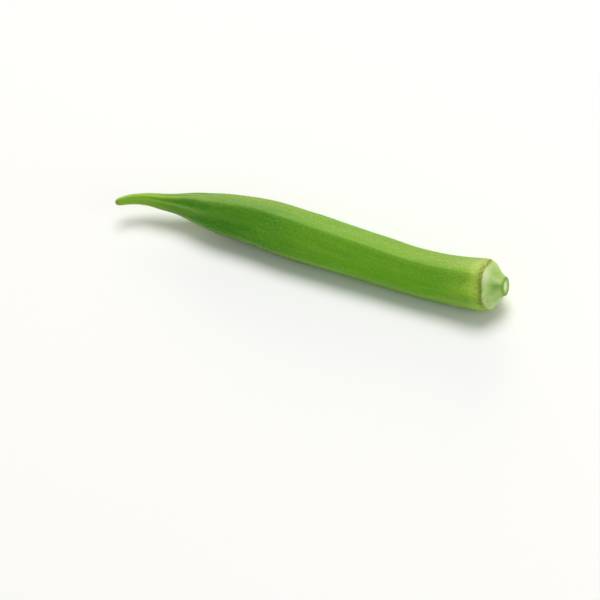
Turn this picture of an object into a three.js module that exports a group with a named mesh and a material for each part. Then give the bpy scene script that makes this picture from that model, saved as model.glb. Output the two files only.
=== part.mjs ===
// Okra pod: a five-ridged seed pod, lying on one of its five faces.
//
// The pod is one grown body. It runs along X from the beak at -X to the cut stem at +X, bows
// gently sideways, and lifts a little at the stem end. Its parts, from the beak on, are the
// thin blunt beak, the swelling body with five ridges, the raised scar where the flower's
// calyx was, the domed cap inside the scar, and the short stem with its cut face.
//
// Millimetres, +Z up. The origin is under the middle of the pod, on the surface it lies on.

import * as THREE from "three";
import { mergeVertices } from "three/addons/utils/BufferGeometryUtils.js";

// ---- Driving dimensions ----

const SCAR_ALONG = 123.6; // from the end of the beak to the calyx scar
const CUT_ALONG = 129.2; // from the end of the beak to the cut face of the stem

// Half width over the ridges at each distance from the end of the beak.
const BODY_RADII = [
  [0, 0.7], [0.6, 1.09], [2, 1.37], [7, 1.8], [13, 2.44], [19, 3.23], [26, 4.93], [34, 6.45],
  [44, 7.43], [56, 8.18], [70, 8.03], [85, 7.69], [100, 7.42], [112, 7.58], [119, 7.85],
  [121.8, 7.9], [123.6, 7.7],
];
// The same for the cap and the stem, from the scar on.
const CAP_RADII = [
  [0, 7.7], [0.6, 7.44], [1.3, 7.04], [2, 6.38], [2.8, 5.36], [3.5, 4.44], [4.1, 3.8],
  [4.6, 3.37], [5.1, 2.99], [5.6, 2.72],
];
// Sideways bow of the centre line at each distance from the end of the beak, +Y to the left.
const BOW = [
  [0, 0], [4, 2.27], [9, 3.67], [15, 4.14], [22, 4.65], [32, 4.31], [46, 4.13], [64, 2.3],
  [84, 0.38], [102, -1.38], [116, -1.85], [130, -1.41],
];
const LIFT_START = 98; // from here on the centre line curves upwards
const LIFT_AT_SCAR = 2.48;
// Where the five ridges stand round the pod: degrees up from the -Y side.
const RIDGE_ANGLES = [8.4, 83.3, 153.4, 235, 305];
// The first two wander round the pod by these degrees, each at its distance from the beak.
const RIDGE_WANDERS = [
  [[0, 0], [20, -2.9], [45, -4.4], [65, -3.3], [90, 1], [110, 0.8], [123.6, 2.4]],
  [[0, 0], [20, 0.5], [45, 3.1], [65, 2.2], [90, -0.6], [110, -3], [123.6, -5.6]],
];
const WANDER_WIDTH = 30; // how far round the pod the skin goes along with its ridge, degrees

// How flat a face is between its ridges, where 2 would be round, and the share of the
// five-sided outline, the rest being round.
const BODY_SECTION = { flatness: 14, sharpness: 0.9 };
const SCAR_SECTION = { flatness: 6.5, sharpness: 0.92 };
const STEM_SECTION = { flatness: 5, sharpness: 0.3 };
const ROUND_SHARE = 0.9; // radius of the round share against the five-sided one
const SECTION_CHANGE_LENGTH = 17; // of the body, before the scar
const SECTION_CHANGE_PAST_SCAR = 4.6;

const SCAR_HEIGHT = 0.07; // the scar's bead above the skin
const SCAR_HALF_WIDTH = 0.36;
const GROOVE_DEPTH = 0.1; // the groove between the bead and the cap
const GROOVE_ALONG = 0.62;
const GROOVE_HALF_WIDTH = 0.3;

// Hollows at the foot of the stem, between the low folds that run up to it from the ridges.
const HOLLOW_DEPTH = 0.14;
const DEEPEST_HOLLOW = { angle: 46, added: 0.3, halfAngle: 38 }; // degrees round the pod
const HOLLOW_PAST_SCAR = 3.8;
const HOLLOW_HALF_LENGTH = 1.3;
const HOLLOW_HALF_ANGLE = 23; // degrees

const NECK_RIB_HEIGHT = 0.26; // a low rib down the middle of each face where the beak begins
const NECK_RIB_ALONG = 20;
const NECK_RIB_HALF_LENGTH = 11;
const NECK_RIB_HALF_ANGLE = 11; // degrees
const SUTURE_DEPTH = 0.07; // the shallow seam that follows it along the body
const SUTURE_HALF_ANGLE = 7; // degrees

const CUT_CHAMFER = 0.22; // soft edge of the cut stem
const PITH_RADIUS = 1.55; // soft core, shrunk a little below the cut
const PITH_DEPTH = 0.16;

// How the pod lies: the centre line's height over its resting surface at the beak, and its
// fall for each millimetre towards the stem. The lowest skin is pressed flat at height 0.
const REST_HEIGHT = 8.17;
const REST_FALL = 0.0175;
const MIDDLE_ALONG = 64.6; // this much of the length lies on the beak's side of the origin
const MIDDLE_BOW = 0.67;

const COLUMNS_PER_FACE = 10;
const RIDGE_CROWDING = 0.6; // draws the columns towards the ridges

// Rings of the body: from, to, number of steps.
const BODY_RINGS = [
  [0, 0.6, 2], [0.6, 2, 2], [2, 12, 7], [12, 36, 10], [36, 114, 20], [114, 122.4, 6],
];
// Rings from the scar on, as distances past it.
const SCAR_RINGS = [-0.9, -0.6, -0.35, -0.12, 0.12, 0.35, 0.6, 0.85, 1.1];
const CAP_RINGS = [1.5, 2, 2.5, 3, 3.5, 3.9, 4.3, 4.7, 5.05];

// ---- Curves ----

// Smooth curve through a table of [x, y] pairs.
function curveAt(table, x) {
  let i = 0;
  while (i < table.length - 2 && x >= table[i + 1][0]) i++;
  const width = table[i + 1][0] - table[i][0];
  const u = (x - table[i][0]) / width;
  const startSlope = slopeAt(table, i) * width;
  const endSlope = slopeAt(table, i + 1) * width;
  return (
    (2 * u ** 3 - 3 * u ** 2 + 1) * table[i][1] +
    (u ** 3 - 2 * u ** 2 + u) * startSlope +
    (3 * u ** 2 - 2 * u ** 3) * table[i + 1][1] +
    (u ** 3 - u ** 2) * endSlope
  );
}

function slopeAt(table, i) {
  const slopes = [];
  for (const j of [i - 1, i]) {
    if (j < 0 || j > table.length - 2) continue;
    const width = table[j + 1][0] - table[j][0];
    slopes.push({ width, slope: (table[j + 1][1] - table[j][1]) / width });
  }
  if (slopes.length === 1) return slopes[0].slope;
  const [before, after] = slopes;
  return (before.width * after.slope + after.width * before.slope) / (before.width + after.width);
}

function bump(x, middle, halfWidth) {
  return Math.exp(-(((x - middle) / halfWidth) ** 2));
}

// ---- Outline round the pod ----

// Angle from one side of the pod, between minus and plus half a turn.
function turnFrom(side, angle) {
  return THREE.MathUtils.euclideanModulo(angle - side + Math.PI, 2 * Math.PI) - Math.PI;
}

const FACES = RIDGE_ANGLES.map((start, i) => {
  const end = i < 4 ? RIDGE_ANGLES[i + 1] : RIDGE_ANGLES[0] + 360;
  return {
    start: THREE.MathUtils.degToRad(start),
    span: THREE.MathUtils.degToRad(end - start),
    middle: THREE.MathUtils.degToRad((start + end) / 2),
    reach: Math.cos(THREE.MathUtils.degToRad((end - start) / 2)),
  };
});

// Flatness of the faces and share of the five-sided outline at a distance along.
function sectionAt(along) {
  const { lerp, smoothstep, clamp } = THREE.MathUtils;
  const past = along - SCAR_ALONG;
  const [from, to, t] =
    past < 0
      ? [BODY_SECTION, SCAR_SECTION, smoothstep(past, -SECTION_CHANGE_LENGTH, 0)]
      : [SCAR_SECTION, STEM_SECTION, clamp(past / SECTION_CHANGE_PAST_SCAR, 0, 1)];
  return {
    flatness: lerp(from.flatness, to.flatness, t),
    sharpness: lerp(from.sharpness, to.sharpness, t),
  };
}

// Radius at an angle as a share of the radius at the ridges.
function outline(along, angle) {
  const { flatness, sharpness } = sectionAt(along);
  let sum = 0;
  for (const face of FACES) {
    sum += Math.max(0, Math.cos(angle - face.middle) / face.reach) ** flatness;
  }
  const round = (1 - sharpness) * ROUND_SHARE;
  const atRidge = 2 ** (-1 / flatness);
  return (round + sharpness * sum ** (-1 / flatness)) / (round + sharpness * atRidge);
}

// Where an angle of the even outline ends up once its ridges wander.
function wandered(along, angle) {
  let turned = angle;
  RIDGE_WANDERS.forEach((wander, i) => {
    const turn = THREE.MathUtils.degToRad(curveAt(wander, Math.min(along, SCAR_ALONG)));
    turned += turn * bump(turnFrom(FACES[i].start, turned), 0, THREE.MathUtils.degToRad(WANDER_WIDTH));
  });
  return turned;
}

// Depth of the hollows on each side of the pod.
function hollowDepth(angle) {
  const side = THREE.MathUtils.degToRad(DEEPEST_HOLLOW.angle);
  const halfAngle = THREE.MathUtils.degToRad(DEEPEST_HOLLOW.halfAngle);
  return HOLLOW_DEPTH + DEEPEST_HOLLOW.added * bump(turnFrom(side, angle), 0, halfAngle);
}

// Ribs, seams and hollows in the middle of a face: how far they lift the skin.
function faceRelief(along, { angle, fromMiddle }) {
  const { degToRad, smoothstep } = THREE.MathUtils;
  const rib = NECK_RIB_HEIGHT * bump(along, NECK_RIB_ALONG, NECK_RIB_HALF_LENGTH);
  const seam = SUTURE_DEPTH * smoothstep(along, 34, 52) * (1 - smoothstep(along, 112, 121));
  const hollow = hollowDepth(angle) * bump(along - SCAR_ALONG, HOLLOW_PAST_SCAR, HOLLOW_HALF_LENGTH);
  return (
    rib * bump(fromMiddle, 0, degToRad(NECK_RIB_HALF_ANGLE)) -
    seam * bump(fromMiddle, 0, degToRad(SUTURE_HALF_ANGLE)) -
    hollow * bump(fromMiddle, 0, degToRad(HOLLOW_HALF_ANGLE))
  );
}

// ---- Profile from the beak to the cut, turned into the pod ----

function ridgeRadius(along) {
  const past = along - SCAR_ALONG;
  const smooth = past < 0 ? curveAt(BODY_RADII, along) : curveAt(CAP_RADII, past);
  return (
    smooth +
    SCAR_HEIGHT * bump(past, 0, SCAR_HALF_WIDTH) -
    GROOVE_DEPTH * bump(past, GROOVE_ALONG, GROOVE_HALF_WIDTH)
  );
}

function podProfile() {
  const profile = [new THREE.Vector2(0, -0.22)];
  for (const [from, to, steps] of BODY_RINGS) {
    for (let i = 0; i < steps; i++) {
      const along = THREE.MathUtils.lerp(from, to, i / steps);
      profile.push(new THREE.Vector2(ridgeRadius(along), along));
    }
  }
  for (const past of [...SCAR_RINGS, ...CAP_RINGS]) {
    const along = SCAR_ALONG + past;
    profile.push(new THREE.Vector2(ridgeRadius(along), along));
  }
  const stemRadius = ridgeRadius(CUT_ALONG);
  profile.push(new THREE.Vector2(stemRadius, CUT_ALONG - CUT_CHAMFER));
  profile.push(new THREE.Vector2(stemRadius - 0.08, CUT_ALONG - 0.07));
  profile.push(new THREE.Vector2(stemRadius - CUT_CHAMFER, CUT_ALONG));
  profile.push(new THREE.Vector2(PITH_RADIUS + 0.25, CUT_ALONG));
  profile.push(new THREE.Vector2(PITH_RADIUS, CUT_ALONG - PITH_DEPTH));
  profile.push(new THREE.Vector2(0, CUT_ALONG - PITH_DEPTH * 0.7));
  return profile.reverse(); // from the cut to the beak, so that the faces point outwards
}

// Angle round the pod of one column of the mesh.
function columnAngle(column) {
  const face = FACES[Math.floor(column / COLUMNS_PER_FACE) % 5];
  const u = (column % COLUMNS_PER_FACE) / COLUMNS_PER_FACE;
  const crowded = u - (RIDGE_CROWDING * Math.sin(2 * Math.PI * u)) / (2 * Math.PI);
  return { angle: face.start + crowded * face.span, fromMiddle: (crowded - 0.5) * face.span };
}

// Point of the centre line.
function centreAt(along) {
  const lifted = Math.max(0, (along - LIFT_START) / (SCAR_ALONG - LIFT_START));
  return new THREE.Vector3(
    along - MIDDLE_ALONG,
    curveAt(BOW, along) - MIDDLE_BOW,
    REST_HEIGHT - REST_FALL * along + LIFT_AT_SCAR * lifted ** 2,
  );
}

// Moves a point of the turned profile on to the pod's own outline and bowed centre line. Past
// the scar the centre line runs straight on.
function placeOnPod(radius, along, place) {
  const onLine = Math.min(along, SCAR_ALONG);
  const point = centreAt(onLine);
  const forward = centreAt(onLine + 0.05).sub(centreAt(onLine - 0.05)).normalize();
  const nearSide = new THREE.Vector3(forward.y, -forward.x, 0).normalize();
  const up = nearSide.clone().cross(forward);

  const relief = Math.min(1, radius) * faceRelief(along, place);
  const reach = radius * outline(along, place.angle) + relief;
  const turned = wandered(along, place.angle);
  point.addScaledVector(forward, along - onLine);
  point.addScaledVector(nearSide, reach * Math.cos(turned));
  point.addScaledVector(up, reach * Math.sin(turned));
  point.z = Math.max(0, point.z);
  return point;
}

function podGeometry() {
  const profile = podProfile();
  const columns = 5 * COLUMNS_PER_FACE;
  const turned = new THREE.LatheGeometry(profile, columns);
  const position = turned.getAttribute("position");
  for (let column = 0; column <= columns; column++) {
    const place = columnAngle(column % columns);
    profile.forEach(({ x: radius, y: along }, ring) => {
      const point = placeOnPod(radius, along, place);
      position.setXYZ(column * profile.length + ring, point.x, point.y, point.z);
    });
  }
  return closeSeam(turned);
}

// Joins the first and last columns and the two poles, and drops the faces this folds away.
function closeSeam(geometry) {
  geometry.deleteAttribute("normal");
  geometry.deleteAttribute("uv");
  const merged = mergeVertices(geometry, 1e-5);
  const corners = merged.getIndex().array;
  const kept = [];
  for (let i = 0; i < corners.length; i += 3) {
    const [a, b, c] = corners.slice(i, i + 3);
    if (a !== b && b !== c && c !== a) kept.push(a, b, c);
  }
  merged.setIndex(kept);
  merged.computeVertexNormals();
  return merged;
}

// ---- The pod ----

const skin = new THREE.MeshStandardMaterial({ color: 0x5c9a2c, roughness: 0.5, metalness: 0 });

const pod = new THREE.Mesh(podGeometry(), skin);
pod.name = "okra_pod";

const okra = new THREE.Group();
okra.add(pod);

export default okra;
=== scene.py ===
import math

import bpy
import numpy as np
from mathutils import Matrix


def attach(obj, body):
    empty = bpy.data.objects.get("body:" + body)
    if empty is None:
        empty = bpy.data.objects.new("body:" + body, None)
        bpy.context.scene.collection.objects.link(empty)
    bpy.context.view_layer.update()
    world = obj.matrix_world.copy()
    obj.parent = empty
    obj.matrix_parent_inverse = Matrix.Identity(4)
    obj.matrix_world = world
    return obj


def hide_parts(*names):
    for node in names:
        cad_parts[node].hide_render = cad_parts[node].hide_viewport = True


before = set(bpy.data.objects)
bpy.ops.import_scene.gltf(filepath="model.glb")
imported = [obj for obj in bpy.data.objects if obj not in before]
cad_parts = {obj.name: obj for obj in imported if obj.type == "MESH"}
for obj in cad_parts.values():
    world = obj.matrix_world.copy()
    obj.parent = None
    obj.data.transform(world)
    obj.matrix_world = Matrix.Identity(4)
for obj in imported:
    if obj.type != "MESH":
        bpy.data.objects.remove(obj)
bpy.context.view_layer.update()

# An okra pod lying on one of its five faces. Lengths here are millimetres until a mesh is
# written. "along" is the distance from the end of the beak, "past" the distance past the scar,
# and "angle" goes round the pod from its -Y side, upwards, in radians. Widths and places that
# are said to be degrees are turned into radians where they are used.

MM = 0.001

# ---- The pod's form ----

SCAR_ALONG = 123.6
CUT_ALONG = 129.2
BODY_RADII = [
    (0, 0.7), (0.6, 1.09), (2, 1.37), (7, 1.8), (13, 2.44), (19, 3.23), (26, 4.93), (34, 6.45),
    (44, 7.43), (56, 8.18), (70, 8.03), (85, 7.69), (100, 7.42), (112, 7.58), (119, 7.85),
    (121.8, 7.9), (123.6, 7.7),
]
CAP_RADII = [
    (0, 7.7), (0.6, 7.44), (1.3, 7.04), (2, 6.38), (2.8, 5.36), (3.5, 4.44), (4.1, 3.8),
    (4.6, 3.37), (5.1, 2.99), (5.6, 2.72),
]
BOW = [
    (0, 0), (4, 2.27), (9, 3.67), (15, 4.14), (22, 4.65), (32, 4.31), (46, 4.13), (64, 2.3),
    (84, 0.38), (102, -1.38), (116, -1.85), (130, -1.41),
]
LIFT_START, LIFT_AT_SCAR = 98, 2.48  # the centre line curves upwards towards the stem
REST_HEIGHT, REST_FALL = 8.17, 0.0175  # of the centre line at the beak, and for each mm along
MIDDLE_ALONG, MIDDLE_BOW = 64.6, 0.67  # the part's own frame starts here

RIDGE_ANGLES = np.radians([8.4, 83.3, 153.4, 235, 305])
FACE_SPANS = (np.roll(RIDGE_ANGLES, -1) - RIDGE_ANGLES) % (2 * math.pi)
# The first two ridges wander round the pod by these degrees.
FIRST_WANDER = [(0, 0), (20, -2.9), (45, -4.4), (65, -3.3), (90, 1), (110, 0.8), (123.6, 2.4)]
SECOND_WANDER = [(0, 0), (20, 0.5), (45, 3.1), (65, 2.2), (90, -0.6), (110, -3), (123.6, -5.6)]
WANDER_WIDTH = math.radians(30)

# How flat a face is between its ridges, and the share of the outline that is five-sided. The
# rest of the outline is round, and smaller by ROUND_SHARE.
BODY_FLATNESS, SCAR_FLATNESS, STEM_FLATNESS = 14, 6.5, 5
BODY_SHARPNESS, SCAR_SHARPNESS, STEM_SHARPNESS = 0.9, 0.92, 0.3
ROUND_SHARE = 0.9
CHANGE_BEFORE_SCAR, CHANGE_PAST_SCAR = 17, 4.6  # lengths over which the section changes

# ---- Relief of the skin: heights and depths, and widths round the pod in degrees ----

NECK_ALONG, NECK_HALF_LENGTH = 20, 11
NECK_RIB_HEIGHT, NECK_RIB_WIDTH = 0.26, 11
RIB_SIDE_ALONG, RIB_SIDE_HALF_LENGTH = 21, 9
RIB_GROOVE_DEPTH, RIB_GROOVE_DEGREES, RIB_GROOVE_WIDTH = 0.06, 16, 9
SEAM_DEPTH, SEAM_WIDTH = 0.07, 7
RIDGE_HEIGHT, RIDGE_WIDTH = 0.07, 3.2
FLANK_DEPTH, FLANK_DEGREES, FLANK_WIDTH = 0.03, 19, 4
SOFT_WAVES, FINE_WAVES, NECK_WAVES = 0.06, 0.014, 0.03

SCAR_WANDER, SCAR_RAGGEDNESS = 0.12, 0.04
BEAD_HEIGHT, BEAD_PAST, BEAD_HALF_WIDTH = 0.07, -0.05, 0.36
NICK_DEPTH, NICK_THRESHOLD = 0.08, 0.7
GROOVE_DEPTH, GROOVE_PAST, GROOVE_HALF_WIDTH = 0.1, 0.62, 0.3

HOLLOW_DEPTH, HOLLOW_PAST, HOLLOW_HALF_LENGTH, HOLLOW_WIDTH = 0.14, 3.8, 1.3, 23
DEEPEST_ADDED, DEEPEST_ANGLE, DEEPEST_WIDTH = 0.3, 46, 38
FOLD_HEIGHT, FOLD_PAST, FOLD_HALF_LENGTH, FOLD_WIDTH = 0.04, 3.6, 1.2, 9
CAP_WAVES, CAP_CREASES, STEM_WAVES = 0.05, 0.022, 0.035

# For waves that only go round the pod: a wavelength along it is drawn but has no effect.
ROUND_ONLY = (50, 90)


def curve(table, x):
    """Smooth curve through (x, y) pairs, at an array of x."""
    xs, ys = np.array(table, float).T
    slopes = np.gradient(ys, xs)
    i = np.clip(np.searchsorted(xs, x, side="right") - 1, 0, len(xs) - 2)
    width = xs[i + 1] - xs[i]
    u = (x - xs[i]) / width
    return (
        (2 * u**3 - 3 * u**2 + 1) * ys[i]
        + (u**3 - 2 * u**2 + u) * width * slopes[i]
        + (3 * u**2 - 2 * u**3) * ys[i + 1]
        + (u**3 - u**2) * width * slopes[i + 1]
    )


def bump(x, middle, half_width):
    """1 in the middle, fading to 0 on both sides."""
    return np.exp(-(((x - middle) / half_width) ** 2))


def ease(x, start, end):
    """0 before the start and 1 after the end, with a soft rise between them."""
    t = np.clip((x - start) / (end - start), 0, 1)
    return t * t * (3 - 2 * t)


def at_degrees(apart, middle, half_width):
    """A bump over an angle in radians, with its middle and half width in degrees."""
    return bump(apart, math.radians(middle), math.radians(half_width))


def turned_from(angle, middle, half_width):
    """1 at one side of the pod, fading to 0 away from it; the last two are in degrees."""
    apart = (angle - np.radians(middle) + math.pi) % (2 * math.pi) - math.pi
    return bump(apart, 0, math.radians(half_width))


def swells(along, angle, seed, pitch, turns, count=26):
    """Random soft waves over the skin, about -1 to 1. pitch is the range of wavelengths along
    the pod, and turns the range of waves round it."""
    draw = np.random.default_rng(seed)
    total = np.zeros(np.broadcast(along, angle).shape)
    for _ in range(count):
        length = draw.uniform(*pitch) * draw.choice([-1, 1])
        waves = draw.integers(turns[0], turns[1] + 1)
        total += np.cos(2 * math.pi * (along / length + draw.random()) + waves * angle)
    return total / math.sqrt(count)


def face_position(angle):
    """Angle from the middle of the face, and from the nearest ridge."""
    start = np.zeros(np.shape(angle))
    span = np.zeros(np.shape(angle))
    for ridge, width in zip(RIDGE_ANGLES, FACE_SPANS):
        past = (angle - ridge) % (2 * math.pi)
        here = past < width
        start = np.where(here, past, start)
        span = np.where(here, width, span)
    return start - span / 2, np.minimum(start, span - start)


def section_at(along):
    """How flat the faces are, and what share of the outline is five-sided."""
    past = along - SCAR_ALONG
    to_scar = ease(past, -CHANGE_BEFORE_SCAR, 0)
    to_stem = np.clip(past / CHANGE_PAST_SCAR, 0, 1)
    flatness = BODY_FLATNESS + (SCAR_FLATNESS - BODY_FLATNESS) * to_scar
    sharpness = BODY_SHARPNESS + (SCAR_SHARPNESS - BODY_SHARPNESS) * to_scar
    flatness = flatness + (STEM_FLATNESS - SCAR_FLATNESS) * to_stem
    return flatness, sharpness + (STEM_SHARPNESS - SCAR_SHARPNESS) * to_stem


def outline(along, angle):
    """Radius of the five-sided section at an angle, as a share of the radius at its ridges."""
    flatness, sharpness = section_at(along)
    total = 0
    for ridge, width in zip(RIDGE_ANGLES, FACE_SPANS):
        facing = np.cos(angle - ridge - width / 2) / math.cos(width / 2)
        total = total + np.maximum(0, facing) ** flatness
    round_part = (1 - sharpness) * ROUND_SHARE
    at_ridge = 2 ** (-1 / flatness)
    here = round_part + sharpness * total ** (-1 / flatness)
    return here / (round_part + sharpness * at_ridge)


def scar_shift(angle):
    """How far the ragged scar wanders along the pod at each angle."""
    wander = swells(0, angle, seed=11, pitch=ROUND_ONLY, turns=(2, 9), count=12)
    ragged = swells(0, angle, seed=12, pitch=ROUND_ONLY, turns=(12, 30), count=12)
    return SCAR_WANDER * wander + SCAR_RAGGEDNESS * ragged


def beside_rib(along, from_middle, degrees, half_width, half_length=RIB_SIDE_HALF_LENGTH):
    """1 along a band beside the rib of each face, where the beak begins."""
    return bump(along, RIB_SIDE_ALONG, half_length) * at_degrees(from_middle, degrees, half_width)


def body_relief(along, angle):
    """Seams, ribs, ridges and gentle unevenness of the skin of the body."""
    from_middle, from_ridge = face_position(angle)
    before_scar = 1 - ease(along, 112, 121)
    body = ease(along, 30, 50) * before_scar
    neck = bump(along, NECK_ALONG, NECK_HALF_LENGTH)
    lift = NECK_RIB_HEIGHT * neck * at_degrees(from_middle, 0, NECK_RIB_WIDTH)
    groove = beside_rib(along, from_middle, RIB_GROOVE_DEGREES, RIB_GROOVE_WIDTH)
    lift -= RIB_GROOVE_DEPTH * groove
    seam = SEAM_DEPTH * ease(along, 34, 52) * before_scar
    lift -= seam * at_degrees(from_middle, 0, SEAM_WIDTH)
    lift += RIDGE_HEIGHT * body * at_degrees(from_ridge, 0, RIDGE_WIDTH)
    lift -= FLANK_DEPTH * body * at_degrees(np.abs(from_middle), FLANK_DEGREES, FLANK_WIDTH)
    soft = swells(along, angle, seed=21, pitch=(11, 34), turns=(2, 9))
    fine = swells(along, angle, seed=22, pitch=(16, 60), turns=(18, 44), count=40)
    lift += SOFT_WAVES * ease(along, 20, 60) * soft
    lift += FINE_WAVES * ease(along, 2, 14) * fine
    lift += NECK_WAVES * neck * swells(along, angle, seed=23, pitch=(20, 50), turns=(7, 16))
    return lift * (1 - ease(along, 121.5, 123.4)) * ease(along, 0, 1.5)


def scar_relief(along, angle):
    """The low ragged bead that the calyx left, and the groove inside it."""
    past = along - SCAR_ALONG - scar_shift(angle)
    uneven = swells(0, angle, seed=31, pitch=ROUND_ONLY, turns=(5, 26), count=16)
    torn = swells(0, angle, seed=32, pitch=ROUND_ONLY, turns=(9, 33), count=16)
    deep = swells(0, angle, seed=33, pitch=ROUND_ONLY, turns=(3, 12), count=12)
    height = BEAD_HEIGHT * (1 + 0.5 * uneven)
    nicks = np.clip(torn - NICK_THRESHOLD, 0, 1)
    bead = (height - NICK_DEPTH * nicks) * bump(past, BEAD_PAST, BEAD_HALF_WIDTH)
    groove = GROOVE_DEPTH * (1 + 0.3 * deep)
    return bead - groove * bump(past, GROOVE_PAST, GROOVE_HALF_WIDTH)


def cap_relief(along, angle):
    """Hollows between the low folds that run from the ridges up to the stem, and fine creases."""
    past = along - SCAR_ALONG
    from_middle, from_ridge = face_position(angle)
    on_cap = ease(past, 0.9, 2) * (1 - ease(past, 5.0, 5.5))
    depth = HOLLOW_DEPTH + DEEPEST_ADDED * turned_from(angle, DEEPEST_ANGLE, DEEPEST_WIDTH)
    hollow = -depth * bump(past, HOLLOW_PAST, HOLLOW_HALF_LENGTH)
    lift = hollow * at_degrees(from_middle, 0, HOLLOW_WIDTH)
    fold = FOLD_HEIGHT * bump(past, FOLD_PAST, FOLD_HALF_LENGTH)
    lift += fold * at_degrees(from_ridge, 0, FOLD_WIDTH)
    lift += CAP_WAVES * on_cap * swells(along, angle, seed=41, pitch=(5, 14), turns=(3, 9))
    lift += CAP_CREASES * on_cap * swells(along, angle, seed=42, pitch=(4, 12), turns=(12, 34))
    on_stem = ease(past, 4.2, 4.9)
    return lift + STEM_WAVES * on_stem * swells(along, angle, seed=43, pitch=(8, 30), turns=(7, 20))


def ridge_radius(along):
    past = along - SCAR_ALONG
    return np.where(past < 0, curve(BODY_RADII, along), curve(CAP_RADII, np.clip(past, 0, None)))


def skin_radius(along, angle):
    """Distance of the finished skin from the centre line."""
    smooth = ridge_radius(along) * outline(along, angle)
    return smooth + body_relief(along, angle) + scar_relief(along, angle) + cap_relief(along, angle)


def centre(along):
    """Points of the centre line, in the part's own frame."""
    lifted = np.clip((along - LIFT_START) / (SCAR_ALONG - LIFT_START), 0, None)
    height = REST_HEIGHT - REST_FALL * along + LIFT_AT_SCAR * lifted**2
    return np.stack([along - MIDDLE_ALONG, curve(BOW, along) - MIDDLE_BOW, height], -1)


def wandered(along, angle):
    """Where an angle of the even outline ends up once its ridges wander."""
    on_body = np.minimum(along, SCAR_ALONG)
    for ridge, wander in zip(RIDGE_ANGLES, (FIRST_WANDER, SECOND_WANDER)):
        apart = (angle - ridge + math.pi) % (2 * math.pi) - math.pi
        angle = angle + np.radians(curve(wander, on_body)) * bump(apart, 0, WANDER_WIDTH)
    return angle


def on_pod(reach, along, angle):
    """Points at a distance from the bowed centre line, none of them below the floor. Past the
    scar the centre line runs straight on."""
    reach, along, angle = np.broadcast_arrays(reach, along, angle)
    angle = wandered(along, angle)
    on_line = np.minimum(along, SCAR_ALONG)
    forward = centre(on_line + 0.05) - centre(on_line - 0.05)
    forward /= np.linalg.norm(forward, axis=-1, keepdims=True)
    near_side = np.stack([forward[..., 1], -forward[..., 0], 0 * along], -1)
    near_side /= np.linalg.norm(near_side, axis=-1, keepdims=True)
    up = np.cross(near_side, forward)
    points = centre(on_line) + forward * (along - on_line)[..., None]
    points = points + near_side * (reach * np.cos(angle))[..., None]
    points = points + up * (reach * np.sin(angle))[..., None]
    return np.concatenate([points[..., :2], np.maximum(points[..., 2:], 0)], -1)


# ---- The skin's mesh ----

COLUMNS_PER_FACE = 44
RIDGE_CROWDING = 0.55  # draws the columns towards the ridges
STEM_END = CUT_ALONG - 0.25  # where the stem's side ends and the rim of the cut begins
# The rim of the cut: how far each of its rings lies before the cut, and inside the stem's side.
RIM_RINGS = [(0.12, 0.015), (0.045, 0.07), (0.0, 0.2)]
RIM_UNEVENNESS = 0.012
CUT_SHARES = np.linspace(0.88, 0.06, 16)  # of the stem's radius, for the rings of the cut face
PITH_DEPTH, PITH_EDGE_DEPTH, SAW_MARKS = 0.16, 0.05, 0.02
BEAK_POLE_ALONG, PITH_POLE_ALONG = -0.22, CUT_ALONG - 0.14


def column_angles():
    """Angles of the skin's columns, closest at the ridges."""
    u = np.arange(COLUMNS_PER_FACE) / COLUMNS_PER_FACE
    crowded = u - RIDGE_CROWDING * np.sin(2 * math.pi * u) / (2 * math.pi)
    return np.concatenate([r + crowded * s for r, s in zip(RIDGE_ANGLES, FACE_SPANS)])


def pod_rings():
    """Distances along of the skin's rings, closest at the beak, the scar and the cap."""
    spans = [(0.0, 2, 14), (2, 121.4, 300), (121.4, 125.6, 42), (125.6, STEM_END, 26)]
    return np.concatenate([np.linspace(a, b, n, endpoint=False) for a, b, n in spans])


def cut_rings(angles):
    """Distances along and radii of the stem's cut: a soft rim, a nearly flat face, and the pith
    sunk a little in its middle."""
    stem = skin_radius(np.full(angles.shape, STEM_END), angles)
    uneven = 1 + RIM_UNEVENNESS * swells(0, angles, seed=51, pitch=ROUND_ONLY, turns=(3, 20))
    along, reach = [], []
    for back, inward in RIM_RINGS:
        along.append(CUT_ALONG - back + 0 * angles)
        reach.append(stem * uneven - inward)
    for share in CUT_SHARES:
        sink = PITH_DEPTH * (1 - ease(share, 0.5, 0.64))
        sink = sink + PITH_EDGE_DEPTH * bump(share, 0.76, 0.08)
        saw = SAW_MARKS * swells(share * 12, angles, seed=52, pitch=(2, 7), turns=(1, 12))
        along.append(CUT_ALONG - sink + saw)
        reach.append(stem * share)
    return along, reach


def store(mesh, name, values):
    """Keeps a number or a vector at every point for the materials."""
    kind = "FLOAT" if values.ndim == 1 else "FLOAT_VECTOR"
    key = "value" if values.ndim == 1 else "vector"
    made = mesh.attributes.new(name, kind, "POINT")
    made.data.foreach_set(key, values.astype(np.float32).ravel())


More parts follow.
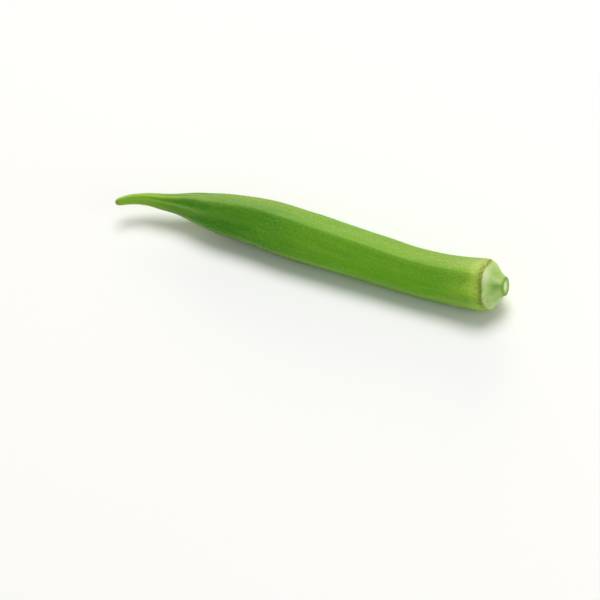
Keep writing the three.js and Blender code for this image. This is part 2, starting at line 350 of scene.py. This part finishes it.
def store_masks(mesh, along, angle, reach):
    """Where on the pod each point has grown, and how much of each mark it shows."""
    from_middle, from_ridge = face_position(angle)
    past = along - SCAR_ALONG
    grown = np.stack([along, reach * np.cos(angle), reach * np.sin(angle)], -1)
    hollow = bump(past, 3.7, 1.8) * at_degrees(from_middle, 0, 46)
    fold = bump(past, 4.2, 1.5) * at_degrees(from_ridge, 0, 13)
    # Painted light: the top of the pod, where the lamps fall, is painted lighter, and the far edge
    # of its belly most of all, as a painted highlight.
    painted_light_side = turned_from(angle, 94 + 24 * ease(along, 14, 50), 30)
    painted_edge_highlight = 1.7 * bump(along, 44, 22) * turned_from(angle, 144, 17)
    store(mesh, "grown", grown)
    store(mesh, "past_scar", past - scar_shift(angle))
    store(mesh, "ridge", at_degrees(from_ridge, 0, 6))
    store(mesh, "face_middle", at_degrees(from_middle, 0, 6))
    # Green in the cap's hollows, darkened as painted shade, most on one side.
    store(mesh, "hollow", hollow * (0.2 + 0.8 * turned_from(angle, 43, 54)))
    # Painted highlight on the cap's folds, most on the upper side.
    store(mesh, "fold", fold * (0.35 + 0.65 * turned_from(angle, 100, 60)))
    store(mesh, "painted_light_side", painted_light_side + painted_edge_highlight)
    # Painted highlight along the neck's rib.
    store(mesh, "neck_rib_highlight", beside_rib(along, from_middle, 0, 9))
    # Painted shade in the groove above the neck's rib.
    store(mesh, "rib_groove_shade", beside_rib(along, from_middle, 15.5, 13.5, 7.5))
    # Painted bounce light on the slope below the neck's rib.
    store(mesh, "rib_slope_bounce_light", beside_rib(along, from_middle, -17, 15))
    # Whitish bloom on the upper side of the cap: partly real bloom, partly a painted highlight.
    store(mesh, "bloom_and_highlight", bump(past, 1.3, 1.5) * turned_from(angle, 84, 34))
    # Ripening near the scar, made stronger on one side as painted light.
    store(mesh, "ripening_and_painted_light", 0.62 + 0.38 * turned_from(angle, 62, 46))
    store(mesh, "weathered", turned_from(angle, 40, 52))
    store(mesh, "torn_over", turned_from(angle, 122, 28))


def build_pod():
    """The skin from the beak to the stem's cut: rings of points, closed by a point at each end."""
    angles = column_angles()
    along = pod_rings()[:, None] + 0 * angles
    angle = 0 * along + angles
    reach = skin_radius(along, angle)
    cut_along, cut_reach = cut_rings(angles)
    along = np.concatenate([along, cut_along])
    reach = np.concatenate([reach, cut_reach])
    angle = np.concatenate([angle, np.tile(angles, (len(cut_along), 1))])

    points = on_pod(reach, along, angle)
    rings, columns = along.shape
    ends = (BEAK_POLE_ALONG, PITH_POLE_ALONG)
    poles = np.array([on_pod(np.array(0.0), np.array(a), np.array(0.0)) for a in ends])
    vertices = np.concatenate([points.reshape(-1, 3), poles]) * MM

    here = np.arange(rings * columns).reshape(rings, columns)
    right = np.roll(here, -1, axis=1)
    quads = np.stack([here[:-1], here[1:], right[1:], right[:-1]], -1).reshape(-1, 4)
    beak, pith = rings * columns, rings * columns + 1
    faces = quads.tolist()
    faces += [(beak, a, b) for a, b in zip(here[0], right[0])]
    faces += [(pith, b, a) for a, b in zip(here[-1], right[-1])]

    mesh = bpy.data.meshes.new("okra_pod_skin")
    mesh.from_pydata(vertices.tolist(), [], faces)
    mesh.materials.append(okra_skin())
    mesh.materials.append(cut_stem())
    first_cut = (rings - len(cut_along) + 1) * columns
    which = np.zeros(len(faces), np.int32)
    which[first_cut : len(quads)] = 1
    which[len(quads) + columns :] = 1
    mesh.polygons.foreach_set("material_index", which)
    mesh.polygons.foreach_set("use_smooth", np.ones(len(faces), bool))

    all_along = np.append(along.ravel(), [BEAK_POLE_ALONG, CUT_ALONG])
    store_masks(mesh, all_along, np.append(angle.ravel(), [0, 0]), np.append(reach.ravel(), [0, 0]))
    mesh.update()
    pod = bpy.data.objects.new("okra_pod_skin", mesh)
    bpy.context.scene.collection.objects.link(pod)
    return pod


# ---- The hairs ----

MOST_HAIRS = 44000  # before those that would touch the floor are left out
TRIES_FOR_EACH = 3
HAIRLESS_BEAK, HAIRLESS_RIM = 1.5, 0.5
THICKEST_RADIUS, RIDGE_HAIR_WIDTH = 8.1, 9  # the width is in degrees
HAIR_LENGTH, ADDED_ON_RIDGES, SHORTEST, LONGEST = 0.16, 0.06, 0.08, 0.34
HAIR_RADIUS, HAIR_SUNK = 0.011, 0.02
LEAN_BACK, LEAN_SPREAD = -0.35, 0.35
ROOT_CLEARANCE, TIP_CLEARANCE = 0.25, 0.05  # above the floor
STEP = 0.15  # along and round the skin, to find its slope


def sow_hairs(draw):
    """Distance along and angle of each hair, and how near it stands to a ridge. Most grow on
    the ridges and where the pod is thick."""
    tries = MOST_HAIRS * TRIES_FOR_EACH
    along = draw.uniform(HAIRLESS_BEAK, SCAR_ALONG - HAIRLESS_RIM, tries)
    angle = draw.uniform(0, 2 * math.pi, tries)
    _, from_ridge = face_position(angle)
    on_ridge = at_degrees(from_ridge, 0, RIDGE_HAIR_WIDTH)
    chance = ridge_radius(along) / THICKEST_RADIUS * (0.45 + 0.55 * on_ridge)
    patchy = swells(along, angle, seed=72, pitch=(6, 25), turns=(2, 11))
    chance = chance * np.clip(0.75 + 0.5 * patchy, 0.15, 1)
    kept = np.flatnonzero(draw.random(tries) < chance)[:MOST_HAIRS]
    return along[kept], angle[kept], on_ridge[kept]


def length_of(vectors):
    return np.linalg.norm(vectors, axis=1, keepdims=True)


def build_hairs():
    """Short stiff hairs: three-sided cones, closed at the root, leaning towards the beak."""
    draw = np.random.default_rng(71)
    along, angle, on_ridge = sow_hairs(draw)
    root = on_pod(skin_radius(along, angle), along, angle)
    ahead = on_pod(skin_radius(along + STEP, angle), along + STEP, angle) - root
    turn = STEP / ridge_radius(along)
    beside = on_pod(skin_radius(along, angle + turn), along, angle + turn) - root
    normal = np.cross(ahead, beside)
    outward = on_pod(skin_radius(along, angle) + 1, along, angle) - root
    normal *= np.sign((normal * outward).sum(1, keepdims=True))
    ahead, beside, normal = (v / np.maximum(length_of(v), 1e-9) for v in (ahead, beside, normal))

    one_each = (len(root), 1)
    lean = draw.normal(LEAN_BACK, LEAN_SPREAD, one_each) * ahead
    lean = lean + draw.normal(0, LEAN_SPREAD, one_each) * beside
    direction = normal + lean
    direction /= length_of(direction)
    usual = HAIR_LENGTH + ADDED_ON_RIDGES * on_ridge[:, None]
    size = np.clip(draw.gamma(4, 0.25, one_each) * usual, SHORTEST, LONGEST)
    tip = root + direction * size
    clear = (root[:, 2] > ROOT_CLEARANCE) & (tip[:, 2] > TIP_CLEARANCE)
    root, tip, ahead = root[clear], tip[clear], ahead[clear]
    direction, normal = direction[clear], normal[clear]

    side = np.cross(direction, ahead)
    side /= length_of(side)
    other = np.cross(direction, side)
    corners = []
    for third in range(3):
        turn = 2 * math.pi * third / 3
        spoke = math.cos(turn) * side + math.sin(turn) * other
        corners.append(root - HAIR_SUNK * normal + HAIR_RADIUS * spoke)
    points = np.stack([*corners, tip], 1).reshape(-1, 3) * MM
    first = np.arange(len(root))[:, None] * 4
    cone = [(0, 1, 3), (1, 2, 3), (2, 0, 3), (0, 2, 1)]
    faces = np.concatenate([first + np.array(face) for face in cone])

    mesh = bpy.data.meshes.new("okra_pod_hairs")
    mesh.from_pydata(points.tolist(), [], faces.tolist())
    mesh.materials.append(skin_hair())
    mesh.update()
    hairs = bpy.data.objects.new("okra_pod_hairs", mesh)
    bpy.context.scene.collection.objects.link(hairs)
    return hairs


# ---- The bench that materials are made on ----


def paint(code):
    """Linear colour from a six-figure code."""
    values = [int(code[i : i + 2], 16) / 255 for i in (1, 3, 5)]
    linear = [v / 12.92 if v <= 0.04045 else ((v + 0.055) / 1.055) ** 2.4 for v in values]
    return (*linear, 1.0)


class Bench:
    """Lays nodes in one tree and joins them."""

    def __init__(self, tree):
        self.tree = tree

    def node(self, kind, inputs=None, **settings):
        made = self.tree.nodes.new(kind)
        for name, value in settings.items():
            setattr(made, name, value)
        for name, value in (inputs or {}).items():
            self.feed(made.inputs[name], value)
        return made

    def feed(self, socket, value):
        if isinstance(value, bpy.types.NodeSocket):
            self.tree.links.new(value, socket)
        else:
            socket.default_value = value

    def kept(self, name, output="Fac"):
        """A number or a vector that the mesh keeps at its points."""
        return self.node("ShaderNodeAttribute", attribute_name=name).outputs[output]

    def reckon(self, operation, a, b):
        return self.node("ShaderNodeMath", {0: a, 1: b}, operation=operation).outputs[0]

    def plus(self, a, b):
        return self.reckon("ADD", a, b)

    def minus(self, a, b):
        return self.reckon("SUBTRACT", a, b)

    def times(self, a, b):
        return self.reckon("MULTIPLY", a, b)

    def larger(self, a, b):
        return self.reckon("MAXIMUM", a, b)

    def stretch(self, vector, scale):
        return self.node("ShaderNodeMapping", {"Vector": vector, "Scale": scale}).outputs[0]

    def noise(self, vector, detail=2.0, roughness=0.5, scale=1.0):
        inputs = {"Vector": vector, "Scale": scale, "Detail": detail, "Roughness": roughness}
        return self.node("ShaderNodeTexNoise", inputs).outputs["Fac"]

    def between(self, value, low, high, to_low=0.0, to_high=1.0):
        """Soft step from to_low at low to to_high at high."""
        inputs = {
            "Value": value, "From Min": low, "From Max": high, "To Min": to_low, "To Max": to_high,
        }
        return self.node("ShaderNodeMapRange", inputs, interpolation_type="SMOOTHSTEP").outputs[0]

    def mix(self, amount, a, b):
        """Mixes two colours, which are the node's sockets 6 and 7 and its output 2."""
        inputs = {0: amount, 6: a, 7: b}
        return self.node("ShaderNodeMix", inputs, data_type="RGBA").outputs[2]

    def tint(self, under, amount, code):
        """Lays a colour over another by an amount from 0 to 1."""
        return self.mix(amount, under, paint(code))

    def bump_map(self, height, strength, distance):
        inputs = {"Height": height, "Strength": strength, "Distance": distance}
        return self.node("ShaderNodeBump", inputs).outputs[0]

    def group(self, tree, **inputs):
        """Places a node group with its own values, and gives its first output."""
        named = {label.capitalize(): value for label, value in inputs.items()}
        return self.node("ShaderNodeGroup", named, node_tree=tree).outputs[0]


def new_material(name):
    material = bpy.data.materials.new(name)
    material.use_nodes = True
    surface = material.node_tree.nodes["Principled BSDF"]
    return material, Bench(material.node_tree), surface


def set_values(surface, values):
    for name, value in values.items():
        surface.inputs[name].default_value = value


def new_group(name, inputs, outputs):
    """A node group with float or vector inputs (by their default) and named outputs."""
    tree = bpy.data.node_groups.new(name, "ShaderNodeTree")
    for label, default in inputs.items():
        kind = "NodeSocketVector" if isinstance(default, tuple) else "NodeSocketFloat"
        socket = tree.interface.new_socket(label, in_out="INPUT", socket_type=kind)
        socket.default_value = default
    for label, kind in outputs.items():
        tree.interface.new_socket(label, in_out="OUTPUT", socket_type=kind)
    bench = Bench(tree)
    given = bench.node("NodeGroupInput").outputs
    return tree, bench, given, bench.node("NodeGroupOutput").inputs


def make_plant_fibres():
    """Fine lines that run along the growth, from -1 to 1."""
    inputs = {"Place": (0.0, 0.0, 0.0), "Across": 1.0, "Along": 0.05}
    tree, bench, given, out = new_group("Plant Fibres", inputs, {"Lines": "NodeSocketFloat"})
    sizes = {"X": given["Along"], "Y": given["Across"], "Z": given["Across"]}
    scale = bench.node("ShaderNodeCombineXYZ", sizes).outputs[0]
    factors = {0: given["Place"], 1: scale}
    place = bench.node("ShaderNodeVectorMath", factors, operation="MULTIPLY").outputs[0]
    lines = bench.noise(place, detail=3.0, roughness=0.6)
    bench.feed(out["Lines"], bench.between(lines, 0.3, 0.7, -1.0, 1.0))
    return tree


def make_plant_grain():
    """Cell-sized grain of a plant's surface, as a height from 0 to about 1."""
    inputs = {"Place": (0.0, 0.0, 0.0), "Cells": 4.0}
    tree, bench, given, out = new_group("Plant Grain", inputs, {"Height": "NodeSocketFloat"})
    cells = bench.node("ShaderNodeTexVoronoi", {"Vector": given["Place"], "Scale": given["Cells"]})
    fine = bench.noise(given["Place"], detail=3.0, roughness=0.65, scale=given["Cells"])
    bench.feed(out["Height"], bench.plus(bench.times(cells.outputs["Distance"], 0.6), fine))
    return tree


PLANT_FIBRES = make_plant_fibres()
PLANT_GRAIN = make_plant_grain()


# ---- The skin's colours ----

DEEP_GREEN, UNLIT_SIDE_GREEN, LIT_SIDE_GREEN = "#2c7b00", "#61a411", "#58980f"
SOFT_PATCH, PALE_LINE, DARK_LINE = "#76ab22", "#97c353", "#356f08"
PALE_SPECKLE, DARK_SPECKLE = "#8abb38", "#3f7a0c"
PAINTED_SHADE_BEHIND_NECK, HAIR_ROOT = "#236f00", "#b2d27c"


def body_green(bench, place, along, patches, speckle):
    """Deepest green behind the neck, with soft patches, faint lines along the growth, a fine
    speckle, and pale dots where hairs stand."""
    # Painted light: a lit and an unlit copy of the green, mixed by where the lamps fall.
    shady = bench.mix(bench.between(along, 35.0, 88.0), paint(DEEP_GREEN), paint(UNLIT_SIDE_GREEN))
    sunny = bench.mix(bench.between(along, 35.0, 74.0), paint(DEEP_GREEN), paint(LIT_SIDE_GREEN))
    green = bench.mix(bench.kept("painted_light_side"), shady, sunny)
    green = bench.tint(green, bench.between(patches, 0.3, 0.7, 0.0, 0.35), SOFT_PATCH)
    lines = bench.group(PLANT_FIBRES, place=place, across=1.1, along=0.03)
    green = bench.tint(green, bench.between(lines, 0.0, 1.0, 0.0, 0.12), PALE_LINE)
    green = bench.tint(green, bench.between(lines, 0.0, -1.0, 0.0, 0.10), DARK_LINE)
    green = bench.tint(green, bench.between(speckle, 0.5, 0.68, 0.0, 0.28), PALE_SPECKLE)
    green = bench.tint(green, bench.between(speckle, 0.5, 0.3, 0.0, 0.26), DARK_SPECKLE)

    # Painted shade: away from the lit top the green is painted deeper still just behind the neck.
    from_neck = bench.between(along, 27.0, 35.0, 0.0, 0.3)
    shaded = bench.times(from_neck, bench.between(along, 55.0, 40.0))
    shaded = bench.times(shaded, bench.minus(1.0, bench.kept("painted_light_side")))
    green = bench.tint(green, shaded, PAINTED_SHADE_BEHIND_NECK)

    dots = bench.node("ShaderNodeTexVoronoi", {"Vector": place, "Scale": 0.95, "Randomness": 1.0})
    near_dot = bench.between(dots.outputs["Distance"], 0.2, 0.07, 0.0, 0.35)
    return bench.tint(green, near_dot, HAIR_ROOT)


PALE_RIDGE, FACE_MIDDLE, NECK_RIB_HIGHLIGHT, NECK_RIDGE_HIGHLIGHT = "#94c04c", "#8fbd45", "#9cc45c", "#8fb558"


def ridges_and_ribs(bench, green, place, along):
    """Lighter ridges, broken here and there, and painted highlights on the ribs and ridges of the
    neck.
    """
    gaps = bench.noise(bench.stretch(place, (0.12, 0.5, 0.5)))
    edge = bench.times(bench.kept("ridge"), bench.between(gaps, 0.3, 0.65, 0.3, 1.0))
    green = bench.tint(green, bench.times(edge, 0.18), PALE_RIDGE)
    green = bench.tint(green, bench.times(bench.kept("face_middle"), 0.06), FACE_MIDDLE)
    neck = bench.times(bench.between(along, 11.0, 21.0), bench.between(along, 36.0, 24.0))
    # Painted highlight on the neck's ribs and ridges.
    green = bench.tint(green, bench.times(bench.kept("neck_rib_highlight"), 0.5), NECK_RIB_HIGHLIGHT)
    return bench.tint(green, bench.times(bench.times(edge, neck), 0.35), NECK_RIDGE_HIGHLIGHT)


PAINTED_LIGHT_PALE = "#a0b742"


def paint_lit_side(bench, green, along, speckle):
    """Painted light: the lit top side is painted paler and yellower, most of all near the scar."""
    to_scar = bench.between(along, 60.0, 122.0, 0.18, 0.44)
    to_beak = bench.between(along, 36.0, 16.0, 0.0, 0.4)
    lit_paleness = bench.times(bench.kept("painted_light_side"), bench.larger(to_scar, to_beak))
    lit_paleness = bench.times(lit_paleness, bench.between(speckle, 0.38, 0.62, 0.45, 1.45))
    return bench.tint(green, lit_paleness, PAINTED_LIGHT_PALE)


RIPE, RIPE_PAINTED_LIT = "#acd048", "#bccf72"


def ripening(bench, green, past, patches, speckle):
    """The body yellows towards the scar, with an uneven border. It is painted yellower sooner on
    one side as painted light, and the lit top gets a lighter ripe colour, also painted light.
    """
    wander = bench.times(bench.minus(patches, 0.5), 9.0)
    lit_side_lead = bench.between(bench.kept("ripening_and_painted_light"), 0.62, 1.0, 0.0, 1.3)
    border = bench.plus(bench.plus(past, lit_side_lead), wander)
    slow = bench.between(border, -16.0, -3.0, 0.0, 0.3)
    quick = bench.between(border, -5.0, 0.0, 0.0, 0.68)
    ripe = bench.times(bench.kept("ripening_and_painted_light"), bench.plus(slow, quick))
    flecked = bench.times(bench.between(speckle, 0.42, 0.6, 0.75, 1.4), ripe)
    # Painted light: a lighter ripe colour on the lit top.
    tone = bench.mix(bench.kept("painted_light_side"), paint(RIPE), paint(RIPE_PAINTED_LIT))
    return bench.mix(flecked, green, tone)


BEAK, RIB_GROOVE_SHADE, RIB_SLOPE_BOUNCE_LIGHT, DRY_END = "#8cbb34", "#2f7a00", "#8db24c", "#93903c"


def beak_and_neck(bench, green, along):
    """A yellower beak with a dry end, painted shade in the grooves above the ribs and painted
    bounce light on the slope below.
    """
    green = bench.tint(green, bench.between(along, 24.0, 9.0, 0.0, 0.75), BEAK)
    # Painted shade in the grooves above the ribs.
    green = bench.tint(green, bench.times(bench.kept("rib_groove_shade"), 0.62), RIB_GROOVE_SHADE)
    # Painted bounce light on the slopes below the ribs.
    green = bench.tint(green, bench.times(bench.kept("rib_slope_bounce_light"), 0.16), RIB_SLOPE_BOUNCE_LIGHT)
    return bench.tint(green, bench.between(along, 2.2, 0.0, 0.0, 0.5), DRY_END)


BROWN_SPECK = "#8f8a44"


def brown_specks(bench, green, place, past):
    """Small brown specks, most of them near the scar."""
    specks = bench.noise(bench.stretch(place, (1.1, 2.0, 2.0)), detail=3.0, roughness=0.7)
    limit = bench.minus(0.74, bench.times(bench.between(past, -5.0, -0.6), 0.13))
    speck = bench.between(bench.minus(specks, limit), 0.0, 0.06, 0.0, 0.6)
    return bench.tint(green, speck, BROWN_SPECK)


CAP, PALE_CAP, PALE_GRAIN, DARK_GRAIN = "#b0cf76", "#c3dc8e", "#d6e4b0", "#8fb55a"
CREASE, BLOOM_AND_HIGHLIGHT, HOLLOW_GREEN_AND_SHADE, STEM_FOOT, FOLD_HIGHLIGHT = "#84a858", "#dae5b4", "#62980a", "#6ea016", "#d3e19a"


def cap_colours(bench, place, past):
    """Pale grey-green with a whitish bloom that is partly a painted highlight on the upper side,
    green down in the hollows round the stem darkened with painted shade, and painted highlights on
    the folds.
    """
    cloud = bench.noise(bench.stretch(place, (0.3, 0.3, 0.3)), detail=3.0, roughness=0.6)
    cap = bench.mix(bench.between(cloud, 0.35, 0.65), paint(CAP), paint(PALE_CAP))
    grains = bench.noise(bench.stretch(place, (2.6, 2.6, 2.6)), roughness=0.7)
    cap = bench.tint(cap, bench.between(grains, 0.48, 0.68, 0.0, 0.4), PALE_GRAIN)
    cap = bench.tint(cap, bench.between(grains, 0.5, 0.32, 0.0, 0.3), DARK_GRAIN)
    creases = bench.group(PLANT_FIBRES, place=place, across=0.8, along=0.8)
    cap = bench.tint(cap, bench.between(creases, 0.0, 1.0, 0.0, 0.2), CREASE)
    bloom_and_glint = bench.plus(bench.kept("bloom_and_highlight"), bench.times(bench.minus(cloud, 0.5), 0.9))
    # Whitish bloom, partly a painted highlight.
    cap = bench.tint(cap, bench.between(bloom_and_glint, 0.2, 1.1, 0.0, 0.7), BLOOM_AND_HIGHLIGHT)
    # Green in the hollows with painted shade.
    cap = bench.tint(cap, bench.times(bench.kept("hollow"), 0.78), HOLLOW_GREEN_AND_SHADE)
    cap = bench.tint(cap, bench.between(past, 4.6, 5.5, 0.0, 0.7), STEM_FOOT)
    # Painted highlight on the folds.
    cap = bench.tint(cap, bench.times(bench.kept("fold"), 0.45), FOLD_HIGHLIGHT)
    return bench.tint(cap, bench.times(bench.kept("torn_over"), 0.45), DARK_GRAIN)


OLIVE_SCAR, WEATHERED_SCAR, TORN_BIT = "#a0a650", "#6a7c2c", "#67652c"


def skin_with_scar(bench, green, cap, place, past):
    """The body's green up to the scar and the cap's colours past it, with the ragged olive scar
    between them, darkest on one side and with brown torn bits."""
    torn_over = bench.kept("torn_over")
    weathered = bench.kept("weathered")
    torn = bench.noise(bench.stretch(place, (1.6, 1.6, 1.6)), detail=3.0, roughness=0.7)
    torn = bench.plus(torn, bench.times(torn_over, 0.055))
    frays = bench.noise(bench.stretch(place, (2.4, 2.4, 2.4)), roughness=0.6)
    olive = bench.mix(weathered, paint(OLIVE_SCAR), paint(WEATHERED_SCAR))
    scar = bench.tint(olive, bench.between(torn, 0.5, 0.66), TORN_BIT)

    ragged = bench.plus(past, bench.times(bench.minus(torn, 0.68), 1.1))
    inner = bench.minus(ragged, bench.times(torn_over, 0.55))
    skin = bench.mix(bench.between(inner, 0.3, 0.65), green, cap)
    before_cap = bench.between(inner, 0.6, 0.25)
    ring = bench.times(bench.between(ragged, -0.95, -0.05), before_cap)
    fringe = bench.times(bench.between(ragged, -2.2, -0.5, 0.0, 0.75), before_cap)
    ring = bench.larger(ring, bench.times(fringe, bench.between(frays, 0.42, 0.6)))
    ring = bench.times(ring, bench.between(torn, 0.3, 0.5, 0.6, 1.0))
    strength = bench.between(weathered, 0.0, 0.8, 0.6, 0.88)
    strength = bench.larger(strength, bench.between(torn, 0.52, 0.6))
    return bench.mix(bench.times(ring, strength), skin, scar)


# ---- Materials ----


def okra_skin():
    material, bench, surface = new_material("okra_skin")
    place = bench.kept("grown", "Vector")
    along = bench.node("ShaderNodeSeparateXYZ", {"Vector": place}).outputs[0]
    past = bench.kept("past_scar")
    patches = bench.noise(bench.stretch(place, (0.05, 0.15, 0.15)))
    speckle = bench.noise(bench.stretch(place, (1.6, 2.2, 2.2)), roughness=0.6)

    green = body_green(bench, place, along, patches, speckle)
    green = ridges_and_ribs(bench, green, place, along)
    green = paint_lit_side(bench, green, along, speckle)
    green = ripening(bench, green, past, patches, speckle)
    green = beak_and_neck(bench, green, along)
    green = brown_specks(bench, green, place, past)
    cap = cap_colours(bench, place, past)
    skin = skin_with_scar(bench, green, cap, place, past)
    bench.feed(surface.inputs["Base Color"], skin)

    # Waxy on the body, drier on the scar and the cap.
    dull = bench.between(past, -3.0, 0.5, 0.5, 0.66)
    uneven = bench.times(bench.minus(patches, 0.5), 0.25)
    bench.feed(surface.inputs["Roughness"], bench.plus(dull, uneven))

    grain = bench.group(PLANT_GRAIN, place=place, cells=3.4)
    ribs = bench.group(PLANT_FIBRES, place=place, across=2.2, along=0.06)
    height = bench.plus(bench.times(grain, 0.6), bench.times(ribs, 0.15))
    bench.feed(surface.inputs["Normal"], bench.bump_map(height, 0.35, 0.00006))
    set_values(surface, {
        "Subsurface Weight": 0.1,
        "Subsurface Radius": (0.6, 1.0, 0.25),
        "Subsurface Scale": 0.0008,
        "Sheen Weight": 0.2,
        "Sheen Roughness": 0.4,
        "Sheen Tint": paint("#e0f080"),
        "Specular IOR Level": 0.22,
    })
    return material


CUT_RADIUS = 2.6
PITH, CUT_FLESH, CUT_RIM = "#d8e4aa", "#a4c460", "#6a9e18"
PALE_FIBRE, DARK_FIBRE = "#e6ecc4", "#94ad58"


def cut_stem():
    """Pale pith inside a green rim, with fibres."""
    material, bench, surface = new_material("cut_stem")
    place = bench.kept("grown", "Vector")
    flat_place = bench.stretch(place, (0, 1, 1))
    across = bench.node("ShaderNodeVectorMath", {0: flat_place}, operation="LENGTH")
    reach = bench.reckon("DIVIDE", across.outputs["Value"], CUT_RADIUS)
    waver = bench.times(bench.minus(bench.noise(place, scale=1.4), 0.5), 0.22)
    reach = bench.plus(reach, waver)
    flesh = bench.mix(bench.between(reach, 0.4, 0.58), paint(PITH), paint(CUT_FLESH))
    fibre = bench.group(PLANT_FIBRES, place=place, across=2.6, along=0.5)
    flesh = bench.tint(flesh, bench.between(fibre, 0.0, 1.0, 0.0, 0.3), PALE_FIBRE)
    flesh = bench.tint(flesh, bench.between(fibre, 0.1, -1.0, 0.0, 0.25), DARK_FIBRE)
    flesh = bench.tint(flesh, bench.between(reach, 0.6, 0.84), CUT_RIM)
    bench.feed(surface.inputs["Base Color"], flesh)
    bench.feed(surface.inputs["Roughness"], bench.between(reach, 0.4, 0.9, 0.62, 0.5))
    grain = bench.group(PLANT_GRAIN, place=place, cells=4.5)
    bench.feed(surface.inputs["Normal"], bench.bump_map(grain, 0.5, 0.0001))
    set_values(surface, {
        "Subsurface Weight": 0.15,
        "Subsurface Radius": (0.8, 1.0, 0.4),
        "Subsurface Scale": 0.0012,
    })
    return material


def skin_hair():
    material, bench, surface = new_material("skin_hair")
    where = bench.node("ShaderNodeTexCoord").outputs["Object"]
    shade = bench.noise(where, detail=1.0, scale=300.0)
    bench.feed(surface.inputs["Base Color"], bench.mix(shade, paint("#94b84a"), paint("#cbd98c")))
    set_values(surface, {"Roughness": 0.45, "Subsurface Weight": 0.0})
    return material


def pale_floor():
    material, bench, surface = new_material("pale_floor")
    where = bench.node("ShaderNodeTexCoord").outputs["Object"]
    tone = bench.noise(where, scale=3.0)
    bench.feed(surface.inputs["Base Color"], bench.mix(tone, paint("#f8f8f6"), paint("#fbfbfa")))
    set_values(surface, {"Roughness": 0.85, "Specular IOR Level": 0.2})
    return material


# ---- Studio, in metres ----

FLOOR_HALF, FLOOR_HEIGHT = 1.6, -0.0001
CAMERA_PLACE = (0.217279, -0.339291, 0.513489)
CAMERA_TURN = (36.0545, 9.2588, 21.1169)  # degrees
CAMERA_LENS, SENSOR_WIDTH, NEAREST_SEEN = 127.5, 36.0, 0.01
WHITE, WARM = (1, 1, 1), (1, 0.84, 0.55)
# Name, place, point aimed at, width, power and colour.
SOFT_LIGHTS = [
    ("overhead_light", (0, 0.72, 2.0), (0, 0, 0), 1.4, 30, WHITE),
    ("back_light", (-0.7, 2.0, 0.36), (0, 0, 0.01), 1.6, 19, WARM),
    ("stem_fill", (1.7, -0.25, 0.68), (0.05, 0, 0), 1.1, 6.6, WHITE),
]
SKY_LIGHT, SKY_SEEN = 0.35, 0.95


def add_floor():
    mesh = bpy.data.meshes.new("studio_floor")
    signs = [(-1, -1), (1, -1), (1, 1), (-1, 1)]
    corners = [(x * FLOOR_HALF, y * FLOOR_HALF, FLOOR_HEIGHT) for x, y in signs]
    mesh.from_pydata(corners, [], [(0, 1, 2, 3)])
    mesh.materials.append(pale_floor())
    floor = bpy.data.objects.new("studio_floor", mesh)
    bpy.context.scene.collection.objects.link(floor)


def add_soft_light(name, place, aim, width, power, colour):
    light = bpy.data.lights.new(name, "AREA")
    light.shape = "DISK"
    light.size = width
    light.energy = power
    light.color = colour
    lamp = bpy.data.objects.new(name, light)
    lamp.location = place
    away = lamp.location - type(lamp.location)(aim)
    lamp.rotation_euler = away.to_track_quat("Z", "Y").to_euler()
    lamp.visible_camera = False
    bpy.context.scene.collection.objects.link(lamp)


def add_camera():
    lens = bpy.data.cameras.new("camera")
    lens.lens = CAMERA_LENS
    lens.sensor_width = SENSOR_WIDTH
    lens.clip_start = NEAREST_SEEN
    camera = bpy.data.objects.new("camera", lens)
    camera.location = CAMERA_PLACE
    camera.rotation_euler = tuple(math.radians(a) for a in CAMERA_TURN)
    bpy.context.scene.collection.objects.link(camera)
    bpy.context.scene.camera = camera


def light_studio():
    world = bpy.data.worlds.new("studio")
    bpy.context.scene.world = world
    world.use_nodes = True
    bench = Bench(world.node_tree)
    seen = bench.node("ShaderNodeLightPath").outputs["Is Camera Ray"]
    sky = world.node_tree.nodes["Background"]
    sky.inputs["Color"].default_value = (1, 1, 1, 1)
    bench.feed(sky.inputs["Strength"], bench.between(seen, 0.0, 1.0, SKY_LIGHT, SKY_SEEN))
    for light in SOFT_LIGHTS:
        add_soft_light(*light)
    bpy.context.scene.view_settings.view_transform = "Standard"


pod = build_pod()
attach(pod, "root")
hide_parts("okra_pod")
hairs = build_hairs()
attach(hairs, "root")

add_floor()
add_camera()
light_studio()
